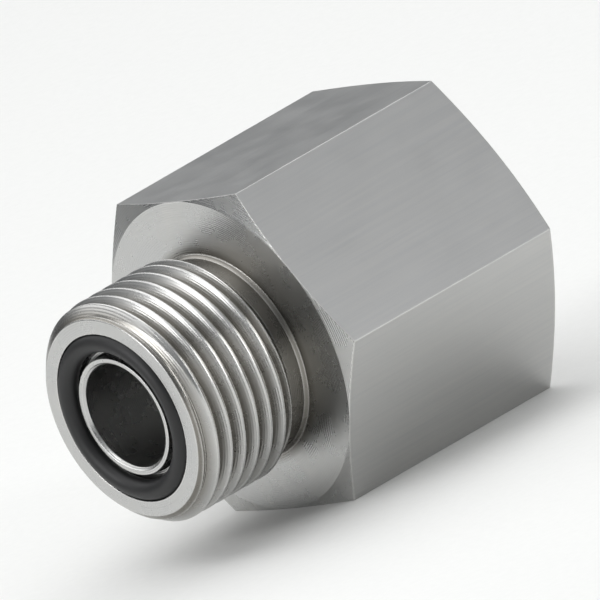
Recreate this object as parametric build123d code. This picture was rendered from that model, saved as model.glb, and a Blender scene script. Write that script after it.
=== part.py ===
from build123d import *
from math import cos, radians, tan
import os

os.makedirs("parts", exist_ok=True)

# Straight adapter, face-seal nose to straight-thread port. Sizes are in mm and degrees.
# The flow axis is Y. The sealing face is at y = 0 and looks towards -Y, and +Y runs through
# the nose, the hexagon and the port. The hexagon lies on a flat, with +Z up.

# Hexagon, cold drawn bar
ACROSS_FLATS = 28.575
HEX_LENGTH = 24.7
HEX_CHAMFER_ANGLE = 15.0        # from the end plane, as a turning tool leaves it
HEX_CHAMFER_RADIUS = 14.3       # where the chamfer meets each end plane

# Nose, from the sealing face to the hexagon
NOSE_LENGTH = 13.1
FACE_EDGE_RADIUS = 9.13         # the sealing face ends here, in a 45 degree lead-in chamfer
NECK_RADIUS = 9.14              # thread relief behind the last turn
RELIEF_WIDTH = 2.98             # from the hexagon to the last crest, bevel included
NECK_FILLET = 0.3
FLOW_BORE_RADIUS = 4.8
INNER_LAND_RECESS = 0.25        # the land inside the ring sits below the sealing face
BORE_EDGE_BREAK = 0.25

# O-ring and its face groove: the ring springs out against the outer wall
RING_SECTION = 1.78
GROOVE_DEPTH = 1.37
GROOVE_OUTER_RADIUS = 7.78
GROOVE_INNER_RADIUS = 5.41
GROOVE_CORNER = 0.2

# Unified threads, both right hand: 13/16-16 outside, 3/4-16 in the port
THREAD_PITCH = 1.5875
THREAD_FLANK_ANGLE = 30.0
NOSE_CREST_RADIUS = 10.31875
PORT_THREAD_RADIUS = 9.525      # over the thread's roots; its ridges are left to the look
THREAD_ROOTING = 0.12           # how far the ridge is sunk into the wall that carries it
NOSE_THREAD_START = 1.2155      # a crest passes here, at the clock angle below
NOSE_THREAD_CLOCK = 15.0        # from +X towards +Z

# Port in the far end: seat cone, full thread, tap drill bore and drill point
SEAT_RADIUS = 10.3
SEAT_ANGLE = 12.0
SEAT_DEPTH = 2.5
PORT_THREAD_DEPTH = 14.6
TAP_DRILL_DEPTH = 17.8
DRILL_POINT_ANGLE = 118.0

OVERALL_LENGTH = NOSE_LENGTH + HEX_LENGTH
CREST_FLAT = THREAD_PITCH / 8
SHARP_HEIGHT = THREAD_PITCH * cos(radians(THREAD_FLANK_ANGLE))
NOSE_THREAD_DEPTH = 17 / 24 * SHARP_HEIGHT
NOSE_ROOT_RADIUS = NOSE_CREST_RADIUS - NOSE_THREAD_DEPTH
TAP_DRILL_RADIUS = PORT_THREAD_RADIUS - 5 / 8 * SHARP_HEIGHT


def turned(points):
    """A solid turned about the flow axis from (radius, y) points."""
    return revolve(make_face(Polyline(*points, close=True)), axis=Axis.Y)


def ridge(wall_radius, crest_radius, turns, start):
    """A helical thread ridge on a round wall, its first crest at y = start on the +X side."""
    base_radius = wall_radius - THREAD_ROOTING
    half_base = CREST_FLAT / 2 + (crest_radius - base_radius) * tan(radians(THREAD_FLANK_ANGLE))
    corners = (
        (base_radius, -half_base),
        (crest_radius, -CREST_FLAT / 2),
        (crest_radius, CREST_FLAT / 2),
        (base_radius, half_base),
    )
    edges = [
        Edge.make_helix(THREAD_PITCH, turns * THREAD_PITCH, radius, center=(0, 0, start + offset))
        for radius, offset in corners
    ]
    faces = [Face.make_surface_from_curves(a, b) for a, b in zip(edges, edges[1:] + edges[:1])]
    faces += [Face(Wire.make_polygon([edge @ end for edge in edges])) for end in (0, 1)]
    return Rot(-90, 0, 0) * Solid(Shell(faces))


# Hexagon with a chamfer turned on both ends
hex_face = RegularPolygon(ACROSS_FLATS / 2, 6, major_radius=False)
hexagon = Pos(0, OVERALL_LENGTH, 0) * extrude(Plane.XZ * hex_face, HEX_LENGTH)
corner_radius = ACROSS_FLATS / 2 / cos(radians(30))
reach = corner_radius + 1
chamfer_drop = (reach - HEX_CHAMFER_RADIUS) * tan(radians(HEX_CHAMFER_ANGLE))
hexagon &= turned([
    (0, NOSE_LENGTH),
    (HEX_CHAMFER_RADIUS, NOSE_LENGTH),
    (reach, NOSE_LENGTH + chamfer_drop),
    (reach, OVERALL_LENGTH - chamfer_drop),
    (HEX_CHAMFER_RADIUS, OVERALL_LENGTH),
    (0, OVERALL_LENGTH),
])

# Nose: flow bore, inner land, O-ring groove, sealing face, thread root and relief
last_crest = NOSE_LENGTH - RELIEF_WIDTH
neck_start = last_crest + NOSE_CREST_RADIUS - NECK_RADIUS
nose = turned([
    (FLOW_BORE_RADIUS, INNER_LAND_RECESS + BORE_EDGE_BREAK),
    (FLOW_BORE_RADIUS + BORE_EDGE_BREAK, INNER_LAND_RECESS),
    (GROOVE_INNER_RADIUS, INNER_LAND_RECESS),
    (GROOVE_INNER_RADIUS, GROOVE_DEPTH - GROOVE_CORNER),
    (GROOVE_INNER_RADIUS + GROOVE_CORNER, GROOVE_DEPTH),
    (GROOVE_OUTER_RADIUS - GROOVE_CORNER, GROOVE_DEPTH),
    (GROOVE_OUTER_RADIUS, GROOVE_DEPTH - GROOVE_CORNER),
    (GROOVE_OUTER_RADIUS, 0),
    (NOSE_ROOT_RADIUS, 0),
    (NOSE_ROOT_RADIUS, neck_start),
    (NECK_RADIUS, neck_start),
    (NECK_RADIUS, NOSE_LENGTH - NECK_FILLET),
    (NECK_RADIUS + NECK_FILLET, NOSE_LENGTH),
    (FLOW_BORE_RADIUS, NOSE_LENGTH),
])

# Male thread: a ridge the length of the thread root, then turned to the lead-in chamfer in
# front and to the relief bevel behind
reach = NOSE_CREST_RADIUS + 1
nose_turns = round(NOSE_LENGTH / THREAD_PITCH) + 2
clock_lag = THREAD_PITCH * NOSE_THREAD_CLOCK / 360
nose_thread = ridge(
    NOSE_ROOT_RADIUS, NOSE_CREST_RADIUS, nose_turns, NOSE_THREAD_START + clock_lag - 2 * THREAD_PITCH
)
nose_thread &= turned([(FLOW_BORE_RADIUS, 0), (reach, 0), (reach, neck_start), (FLOW_BORE_RADIUS, neck_start)])
nose += nose_thread
nose -= turned([(FACE_EDGE_RADIUS - 1, -1), (reach, -1), (reach, reach - FACE_EDGE_RADIUS)])
nose -= turned([
    (NECK_RADIUS, neck_start),
    (reach, neck_start - (reach - NECK_RADIUS)),
    (reach, neck_start),
])

# Port, cut from the far end
seat_end = OVERALL_LENGTH - SEAT_DEPTH
seat_end_radius = SEAT_RADIUS - SEAT_DEPTH * tan(radians(SEAT_ANGLE))
thread_end = OVERALL_LENGTH - PORT_THREAD_DEPTH
drill_end = OVERALL_LENGTH - TAP_DRILL_DEPTH
point_end = drill_end - (TAP_DRILL_RADIUS - FLOW_BORE_RADIUS) / tan(radians(DRILL_POINT_ANGLE / 2))
port = turned([
    (0, NOSE_LENGTH),
    (FLOW_BORE_RADIUS, NOSE_LENGTH),
    (FLOW_BORE_RADIUS, point_end),
    (TAP_DRILL_RADIUS, drill_end),
    (TAP_DRILL_RADIUS, thread_end - (PORT_THREAD_RADIUS - TAP_DRILL_RADIUS)),
    (PORT_THREAD_RADIUS, thread_end),
    (PORT_THREAD_RADIUS, seat_end),
    (seat_end_radius, seat_end),
    (SEAT_RADIUS, OVERALL_LENGTH),
    (0, OVERALL_LENGTH),
])
fitting_body = nose + (hexagon - port)

# The face O-ring sits against the groove's floor and outer wall and stands proud of the face
ring_radius = RING_SECTION / 2
face_o_ring = Pos(0, GROOVE_DEPTH - ring_radius, 0) * Rot(90, 0, 0) * Torus(
    GROOVE_OUTER_RADIUS - ring_radius, ring_radius
)

for name, shape in (("fitting_body", fitting_body), ("face_o_ring", face_o_ring)):
    solids = shape.solids()
    export_step(solids[0] if len(solids) == 1 else shape, f"parts/{name}.step")
    print(name, "solids", len(solids), "valid", shape.is_valid, "volume", round(shape.volume, 1))
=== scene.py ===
# %% [markdown]
# A straight steel adapter with a face seal lies on one flat of its hexagon. The nose with the
# O-ring looks to the front left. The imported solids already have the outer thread, the O-ring's
# groove and the bores. This script adds the thread inside the port, and gives every piece its
# surface. It also sets the light and the camera. Lengths are in metres.

# %% Load the frame
import math

import bmesh
import bpy
from mathutils import Matrix, Vector


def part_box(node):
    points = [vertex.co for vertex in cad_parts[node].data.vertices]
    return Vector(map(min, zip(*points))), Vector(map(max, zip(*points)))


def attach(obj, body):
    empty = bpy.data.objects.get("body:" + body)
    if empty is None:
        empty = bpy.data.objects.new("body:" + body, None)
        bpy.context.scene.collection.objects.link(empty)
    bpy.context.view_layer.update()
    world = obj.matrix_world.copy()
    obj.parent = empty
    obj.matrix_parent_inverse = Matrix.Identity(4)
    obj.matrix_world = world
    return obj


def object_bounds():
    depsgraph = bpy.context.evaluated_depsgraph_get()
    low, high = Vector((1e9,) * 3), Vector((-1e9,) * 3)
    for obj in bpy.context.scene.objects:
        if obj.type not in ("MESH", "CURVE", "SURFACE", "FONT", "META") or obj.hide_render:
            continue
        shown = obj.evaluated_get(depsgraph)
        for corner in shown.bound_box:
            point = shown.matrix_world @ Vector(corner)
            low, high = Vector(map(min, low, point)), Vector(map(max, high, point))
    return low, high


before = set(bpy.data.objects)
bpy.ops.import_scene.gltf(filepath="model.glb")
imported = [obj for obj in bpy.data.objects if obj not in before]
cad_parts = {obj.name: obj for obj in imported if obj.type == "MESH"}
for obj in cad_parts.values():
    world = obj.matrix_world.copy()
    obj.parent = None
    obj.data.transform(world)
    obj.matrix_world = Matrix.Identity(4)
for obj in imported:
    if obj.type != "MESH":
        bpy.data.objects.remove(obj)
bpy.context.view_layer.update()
MM = 0.001
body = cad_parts["fitting_body"]
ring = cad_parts["face_o_ring"]
for node in (body, ring):
    low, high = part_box(node.name)
    print(node.name, [round((b - a) / MM, 2) for a, b in zip(low, high)], "mm")

# %% [markdown]
# Colours are written as sRGB hex and turned linear in one place. One function adds a shader
# node with its settings and links, and hands back the socket that the next node takes.

# %% Helpers
def linear(hex_colour):
    """Linear RGBA of an sRGB hex colour."""
    channels = [int(hex_colour[i : i + 2], 16) / 255 for i in (1, 3, 5)]
    return [c / 12.92 if c <= 0.04045 else ((c + 0.055) / 1.055) ** 2.4 for c in channels] + [1.0]


def add(tree, kind, inputs=None, out=0, **settings):
    """Adds a shader node and returns one output. inputs maps an input to a socket or a value."""
    node = tree.nodes.new(kind)
    for name, value in settings.items():
        setattr(node, name, value)
    for key, value in (inputs or {}).items():
        if isinstance(value, bpy.types.NodeSocket):
            tree.links.new(value, node.inputs[key])
        else:
            node.inputs[key].default_value = value
    return node.outputs[out]


def new_material(name):
    """A new material, its node tree and its Principled shader."""
    material = bpy.data.materials.new(name)
    material.use_nodes = True
    tree = material.node_tree
    return material, tree, tree.nodes["Principled BSDF"]


def plug_in(tree, shader, sockets):
    """Links named sockets to the shader's inputs."""
    for name, socket in sockets.items():
        tree.links.new(socket, shader.inputs[name])


def give(obj, material):
    """Puts one material on every slot of a carried-over CAD node."""
    for slot in obj.material_slots:
        slot.link = "OBJECT"
        slot.material = material


# %% [markdown]
# The body is austenitic stainless steel, turned bright from cold drawn hexagon bar. Turned
# skins carry the tool's feed marks, which run around the axis. The six flats were never cut:
# they keep fine drawing lines along the bar. Metal keeps the shader's default IOR.
# A picture of brushed metal could be wrapped around the part, but it would need UVs and would
# smear on the thread. Here each mark is worked out from where its point lies on the bar. So the
# first step finds a point's radius, its place along the axis and the way its skin faces.

# %% Where on the bar a point is
END_FACE = 0.8                # a skin faces the ends when its normal leans this far to the axis
LENGTHWISE = 0.02             # and runs along the bar when its normal leans less than this
NEAR_FACE = 0.05 * MM         # a skin no further back than this is the sealing face
FLAT_RADIUS = 14.27 * MM      # just inside the flats, which lie 14.29 mm from the axis
HEX_START = 13.1 * MM         # the hexagon's near face, behind the sealing face
ROOT_RADIUS = 9.35 * MM       # bottom of the outer thread
CREST_RADIUS = 10.32 * MM     # top of the outer thread
GROOVE_RADIUS = 7.78 * MM     # inside this lie the O-ring's groove and the flow bore

steel, tree, shader = new_material("stainless_steel_turned_bright")
place = add(tree, "ShaderNodeTexCoord", out="Object")
x = add(tree, "ShaderNodeSeparateXYZ", {0: place}, out="X")
y = add(tree, "ShaderNodeSeparateXYZ", {0: place}, out="Y")
z = add(tree, "ShaderNodeSeparateXYZ", {0: place}, out="Z")
from_axis = add(tree, "ShaderNodeCombineXYZ", {"X": x, "Z": z})
radius = add(tree, "ShaderNodeVectorMath", {0: from_axis}, out="Value", operation="LENGTH")
normal = add(tree, "ShaderNodeNewGeometry", out="Normal")
normal_y = add(tree, "ShaderNodeSeparateXYZ", {0: normal}, out="Y")
facing = add(tree, "ShaderNodeMath", {0: normal_y}, operation="ABSOLUTE")
is_end_face = add(tree, "ShaderNodeMath", {0: facing, 1: END_FACE}, operation="GREATER_THAN")
is_lengthwise = add(tree, "ShaderNodeMath", {0: facing, 1: LENGTHWISE}, operation="LESS_THAN")
is_outside = add(tree, "ShaderNodeMath", {0: radius, 1: FLAT_RADIUS}, operation="GREATER_THAN")
is_flat = add(tree, "ShaderNodeMath", {0: is_lengthwise, 1: is_outside}, operation="MULTIPLY")

# %% [markdown]
# A finishing cut advances about 0.1 mm in a turn of the work. That is little more than a pixel
# and too fine to show, so the marks are drawn 0.2 mm apart. Grooves in the mesh would cost very
# many faces for a few microns of depth, so a sine wave drives a bump instead. A slower noise
# makes some of the marks catch more light.

# %% Feed marks
FEED = 0.2 * MM
UNEVEN = 0.55 * MM            # the slower noise spans a few marks
WAVE_SHARE = 0.4              # the wave's height, where the noise's is 1
along = add(tree, "ShaderNodeMix", {"Factor": is_end_face, "A": y, "B": radius}, out="Result")
phase = add(tree, "ShaderNodeMath", {0: along, 1: 2 * math.pi / FEED}, operation="MULTIPLY")
wave = add(tree, "ShaderNodeMath", {0: phase}, operation="SINE")
uneven = add(
    tree,
    "ShaderNodeTexNoise",
    {"W": along, "Scale": 1 / UNEVEN, "Detail": 3.0, "Roughness": 0.6},
    noise_dimensions="1D",
)
turned = add(tree, "ShaderNodeMath", {0: wave, 1: WAVE_SHARE, 2: uneven}, operation="MULTIPLY_ADD")

# %% [markdown]
# The drawing die leaves scratches as long as the bar and a few hundredths of a millimetre
# wide. They are drawn 0.3 mm wide, so that they show. Scratches could be drawn one by one on a
# texture. A noise that is stretched fifty times along the bar looks the same and never repeats.

# %% Drawing lines on the flats
DRAWN_WIDTH = 0.3 * MM
ALONG_BAR = 0.02              # one fiftieth
stretched = add(tree, "ShaderNodeMapping", {"Vector": place, "Scale": (1.0, ALONG_BAR, 1.0)})
drawn = add(
    tree,
    "ShaderNodeTexNoise",
    {"Vector": stretched, "Scale": 1 / DRAWN_WIDTH, "Detail": 4.0, "Roughness": 0.65},
)
height = add(tree, "ShaderNodeMix", {"Factor": is_flat, "A": turned, "B": drawn}, out="Result")

# %% [markdown]
# Handling leaves a thin film in soft patches, which dull the shine a little. The thread roots
# and the neck are browned and darkened, partly by cutting oil that stays there and partly by
# painted shade in these hollows. Nuts, wrenches and bench tops polish the corners. All three
# could be painted by hand. Masks from noise, from the radius and from the Bevel node's softened
# normal do it without a painted picture.

# %% Handling film in patches some 3 mm wide
PATCH = 3 * MM
patches = add(
    tree, "ShaderNodeTexNoise", {"Vector": place, "Scale": 1 / PATCH, "Detail": 5.0, "Roughness": 0.6}
)
film = add(
    tree,
    "ShaderNodeMapRange",
    {"Value": patches, "From Min": 0.3, "From Max": 0.7, "To Min": 0.25, "To Max": 0.30},
)
rough = add(tree, "ShaderNodeMath", {0: is_flat, 1: 0.07, 2: film}, operation="MULTIPLY_ADD")

# %% Neutral steel, browner in the thread roots and the neck from oil and painted shade
crest = add(
    tree, "ShaderNodeMapRange", {"Value": radius, "From Min": ROOT_RADIUS, "From Max": CREST_RADIUS}
)
on_hexagon = add(tree, "ShaderNodeMath", {0: y, 1: HEX_START}, operation="GREATER_THAN")
in_groove = add(tree, "ShaderNodeMath", {0: radius, 1: GROOVE_RADIUS}, operation="LESS_THAN")
on_face = add(tree, "ShaderNodeMath", {0: y, 1: NEAR_FACE}, operation="LESS_THAN")
# The steel's own tone stays outside the thread roots and the neck. Inside them, oil and painted shade
# darken it.
clear_of_oil_and_painted_shade = crest
for also_clear in (on_hexagon, in_groove, on_face):
    clear_of_oil_and_painted_shade = add(tree, "ShaderNodeMath", {0: clear_of_oil_and_painted_shade, 1: also_clear}, operation="MAXIMUM")
streaks = add(tree, "ShaderNodeMix", {"Factor": is_flat, "A": patches, "B": drawn}, out="Result")
clean = add(
    tree,
    "ShaderNodeMix",
    {"Factor": streaks, "A": linear("#B9BABB"), "B": linear("#CBCAC7")},
    out="Result",
    data_type="RGBA",
)
# Painted shade with oil: the dark brown fills the thread roots and the neck
colour = add(
    tree,
    "ShaderNodeMix",
    {"Factor": clear_of_oil_and_painted_shade, "A": linear("#86837D"), "B": clean},
    out="Result",
    data_type="RGBA",
)

# %% Burnished corners, uneven as the patches are
BURNISHED = 0.3 * MM
softened = add(tree, "ShaderNodeBevel", {"Radius": BURNISHED}, samples=6)
level = add(tree, "ShaderNodeVectorMath", {0: softened, 1: normal}, out="Value", operation="DOT_PRODUCT")
edge = add(
    tree,
    "ShaderNodeMapRange",
    {"Value": level, "From Min": 0.995, "From Max": 0.93, "To Min": 0.0, "To Max": 1.0},
)
worn = add(tree, "ShaderNodeMath", {0: edge, 1: patches}, operation="MULTIPLY")
colour = add(
    tree,
    "ShaderNodeMix",
    {"Factor": worn, "A": colour, "B": linear("#E2E1DE")},
    out="Result",
    data_type="RGBA",
)
rough = add(tree, "ShaderNodeMath", {0: worn, 1: -0.12, 2: rough}, operation="MULTIPLY_ADD")

# %% Put the steel together
EDGE_BREAK = 0.1 * MM         # deburred edges
MARK_DEPTH = 0.009 * MM
rounded = add(tree, "ShaderNodeBevel", {"Radius": EDGE_BREAK}, samples=6)
marks = add(
    tree, "ShaderNodeBump", {"Height": height, "Distance": MARK_DEPTH, "Strength": 1.0, "Normal": rounded}
)
around = add(tree, "ShaderNodeTangent", direction_type="RADIAL", axis="Y")
# The flats' lines run along the bar, so their highlight is stretched a quarter turn away
quarter_turn = add(tree, "ShaderNodeMath", {0: is_flat, 1: 0.25}, operation="MULTIPLY")
plug_in(tree, shader, {
    "Base Color": colour,
    "Roughness": rough,
    "Normal": marks,
    "Tangent": around,
    "Anisotropic Rotation": quarter_turn,
})
shader.inputs["Metallic"].default_value = 1.0
shader.inputs["Anisotropic"].default_value = 0.45
give(body, steel)
print("steel nodes:", len(tree.nodes))

# %% [markdown]
# The O-ring is fluoroelastomer, compression moulded and then wiped. It is black with a soft
# sheen, and a trimmed parting line runs around its middle. The line could be a rib in the mesh.
# Once trimmed it is hardly higher than the moulded grain, so one bump draws both.

# %% Rubber
RING_MIDDLE = 0.48 * MM       # where the parting plane lies behind the sealing face
FLASH_WIDTH = 0.06 * MM
GRAIN = 0.12 * MM             # moulded texture
GRAIN_DEPTH = 0.006 * MM
BLOOM = 2.5 * MM              # paler wiped patches
rubber, tree, shader = new_material("fluoroelastomer_moulded_black")
place = add(tree, "ShaderNodeTexCoord", out="Object")
y = add(tree, "ShaderNodeSeparateXYZ", {0: place}, out="Y")
offset = add(tree, "ShaderNodeMath", {0: y, 1: RING_MIDDLE}, operation="SUBTRACT")
off_middle = add(tree, "ShaderNodeMath", {0: offset}, operation="ABSOLUTE")
flash = add(
    tree, "ShaderNodeMapRange", {"Value": off_middle, "From Max": FLASH_WIDTH, "To Min": 1.0, "To Max": 0.0}
)
grain = add(
    tree, "ShaderNodeTexNoise", {"Vector": place, "Scale": 1 / GRAIN, "Detail": 3.0, "Roughness": 0.6}
)
bloom = add(
    tree, "ShaderNodeTexNoise", {"Vector": place, "Scale": 1 / BLOOM, "Detail": 4.0, "Roughness": 0.6}
)
height = add(tree, "ShaderNodeMath", {0: flash, 1: grain}, operation="ADD")
colour = add(
    tree,
    "ShaderNodeMix",
    {"Factor": bloom, "A": linear("#111112"), "B": linear("#1F1F20")},
    out="Result",
    data_type="RGBA",
)
plug_in(tree, shader, {
    "Base Color": colour,
    "Roughness": add(tree, "ShaderNodeMapRange", {"Value": bloom, "To Min": 0.4, "To Max": 0.58}),
    "Normal": add(tree, "ShaderNodeBump", {"Height": height, "Distance": GRAIN_DEPTH, "Strength": 0.6}),
})
give(ring, rubber)
print("rubber nodes:", len(tree.nodes))

# %% [markdown]
# The solid's port is plain at the thread's roots. The port thread's ridge is one right-hand
# helix that stands inwards from that wall, with a crest flat of an eighth of the pitch,
# 30 degree flanks and a 45 degree lead-in where the seat cone ends. A Screw modifier could wind
# the same section around the axis. A loop is used, because it can also fade the ridge in at the
# deep end and slope it off at the seat.

# %% The ridge as a swept four-point section
PITCH = 1.5875 * MM
WALL = 9.525 * MM             # port wall, where the ridge stands
CREST = 8.666 * MM            # the ridge's inner radius
SUNK = 0.05 * MM              # the ridge starts this deep inside the wall
DEEP_END, SEAT_END = 23.2 * MM, 35.3 * MM
STEPS = 72                    # sections in one turn
RUN_OUT_STEPS = 14            # the tap's last teeth fade the ridge in over a fifth of a turn
FLANK = math.radians(30)
base = WALL + SUNK
crest_half = PITCH / 16       # half of the crest flat
base_half = crest_half + (base - CREST) * math.tan(FLANK)
section = ((base, -base_half), (CREST, -crest_half), (CREST, crest_half), (base, base_half))
first, last = DEEP_END + base_half, SEAT_END - base_half
count = int((last - first) / PITCH * STEPS)
points, faces = [], []
for i in range(count + 1):
    turn = 2 * math.pi * i / STEPS
    y_mid = first + PITCH * i / STEPS
    run_out = (base - CREST) * max(0.0, 1 - i / RUN_OUT_STEPS)
    for r, dy in section:
        lead_in = WALL - (SEAT_END - y_mid - dy)
        r = min(max(r, lead_in, CREST + run_out), base)
        points.append((r * math.cos(turn), y_mid + dy, -r * math.sin(turn)))
    if i:
        a, b = 4 * (i - 1), 4 * i
        faces += [(a + k, a + (k + 1) % 4, b + (k + 1) % 4, b + k) for k in range(4)]
faces += [(3, 2, 1, 0), tuple(4 * count + k for k in range(4))]

# %% The ridge's mesh, with its normals outwards
scene = bpy.context.scene
mesh = bpy.data.meshes.new("port_thread")
mesh.from_pydata(points, [], faces)
mesh.validate()
shape = bmesh.new()
shape.from_mesh(mesh)
bmesh.ops.recalc_face_normals(shape, faces=shape.faces)
shape.to_mesh(mesh)
shape.free()
mesh.materials.append(steel)
port_thread = bpy.data.objects.new("port_thread", mesh)
scene.collection.objects.link(port_thread)
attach(port_thread, "root")
print("port thread:", round(count / STEPS, 2), "turns,", len(mesh.polygons), "faces")

# %% [markdown]
# A wide sheet of matt white paper lies under the part, so that the drawing's white ground is
# met by a real surface and a soft contact shadow. A white background alone would leave the part
# floating, and the paper also throws light up onto the lower flats.

# %% Paper
FLOOR_HALF = 2.5              # so wide that every view ends on paper
FIBRE = 0.8 * MM
HAIR = 0.02 * MM              # keeps the paper clear of the flat that lies on it
floor_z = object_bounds()[0][2] - HAIR
mesh = bpy.data.meshes.new("paper_sheet")
corners = [(x * FLOOR_HALF, y * FLOOR_HALF, floor_z) for x, y in ((-1, -1), (1, -1), (1, 1), (-1, 1))]
mesh.from_pydata(corners, [], [(0, 1, 2, 3)])
floor = bpy.data.objects.new("paper_sheet", mesh)
scene.collection.objects.link(floor)
paper, tree, shader = new_material("matt_white_paper")
place = add(tree, "ShaderNodeTexCoord", out="Object")
fibre = add(tree, "ShaderNodeTexNoise", {"Vector": place, "Scale": 1 / FIBRE, "Detail": 2.0})
tone = add(
    tree,
    "ShaderNodeMix",
    {"Factor": fibre, "A": linear("#E9E9E7"), "B": linear("#EEEEEC")},
    out="Result",
    data_type="RGBA",
)
plug_in(tree, shader, {"Base Color": tone})
shader.inputs["Roughness"].default_value = 0.9
mesh.materials.append(paper)
print("paper lies at z", round(floor_z / MM, 2), "mm")

# %% [markdown]
# Bright metal shows what stands around it. One wide soft box hangs overhead and two small ones
# stand at the sides. The room is white overhead and grey towards the horizon, which gives the
# steel its darker tones. A picture of a studio could be the world instead. A gradient and three
# lamps need no file and can be steered one at a time.

# %% Room
world = bpy.data.worlds.new("studio_room")
scene.world = world
world.use_nodes = True
tree = world.node_tree
room = tree.nodes["Background"]
room.inputs["Strength"].default_value = 0.62
direction = add(tree, "ShaderNodeTexCoord", out="Generated")
up = add(tree, "ShaderNodeSeparateXYZ", {0: direction}, out="Z")
overhead = add(
    tree,
    "ShaderNodeMapRange",
    {"Value": up, "From Min": 0.05, "From Max": 0.85},
    interpolation_type="SMOOTHSTEP",
)
wall_tone = add(
    tree,
    "ShaderNodeMix",
    {"Factor": overhead, "A": linear("#6E7174"), "B": linear("#F6F8FA")},
    out="Result",
    data_type="RGBA",
)
tree.links.new(wall_tone, room.inputs["Color"])

# %% Soft boxes
PART_MIDDLE = Vector((0.0, 19.0, 0.0)) * MM


def soft_box(name, position, size, watts):
    """A rectangular soft box that looks at the part."""
    lamp = bpy.data.lights.new(name, "AREA")
    lamp.shape = "RECTANGLE"
    lamp.size, lamp.size_y = size
    lamp.energy = watts
    holder = bpy.data.objects.new(name, lamp)
    holder.location = position
    aim = PART_MIDDLE - Vector(position)
    holder.rotation_euler = aim.to_track_quat("-Z", "Y").to_euler()
    scene.collection.objects.link(holder)


soft_box("overhead", (-0.12, 0.08, 0.45), (0.80, 0.80), 2.4)
soft_box("front_left", (-0.05, -0.30, 0.14), (0.14, 0.20), 0.42)
soft_box("right_fill", (0.30, 0.16, 0.10), (0.08, 0.22), 0.22)
print("soft boxes:", [lamp.name for lamp in bpy.data.lights])

# %% [markdown]
# The picture is a true isometric view, so the camera is orthographic: through a lens, far edges
# would look shorter than near ones. The drawing stands the hexagon on a corner and here it lies
# on a flat, so the isometric view is turned by 30 degrees about the bar's axis. That rolls the
# camera, and the axis still climbs to the right at 30 degrees.

# %% Isometric camera
MM_PER_PIXEL = 0.085
PICTURE = 600                 # pixels on a side
CAMERA_DISTANCE = 0.3
CORNER_TO_FLAT = math.radians(30)
AXIS_POINT = Vector((0.0, 13.70, 0.0)) * MM
LEFT_PIXELS, DOWN_PIXELS = 64.3, 52.3   # where the axis point shows, from the picture's centre
about_bar = Matrix.Rotation(CORNER_TO_FLAT, 3, "Y")
to_viewer = about_bar @ Vector((1.0, -1.0, 1.0)).normalized()
to_right = about_bar @ Vector((1.0, 1.0, 0.0)).normalized()
to_top = to_viewer.cross(to_right)
centre = AXIS_POINT + (to_right * LEFT_PIXELS + to_top * DOWN_PIXELS) * MM_PER_PIXEL * MM
lens = bpy.data.cameras.new("isometric")
lens.type = "ORTHO"
lens.ortho_scale = PICTURE * MM_PER_PIXEL * MM
lens.clip_start = 0.01
lens.clip_end = 20.0
camera = bpy.data.objects.new("isometric", lens)
facing_part = Matrix((to_right, to_top, to_viewer)).transposed().to_4x4()
camera.matrix_world = Matrix.Translation(centre + to_viewer * CAMERA_DISTANCE) @ facing_part
scene.collection.objects.link(camera)
scene.camera = camera
print("the picture is", round(PICTURE * MM_PER_PIXEL, 1), "mm across")

# %% Render settings
scene.render.engine = "CYCLES"
scene.cycles.samples = 128
scene.cycles.use_denoising = True
scene.render.resolution_x = scene.render.resolution_y = PICTURE
scene.render.resolution_percentage = 100
scene.view_settings.view_transform = "Standard"
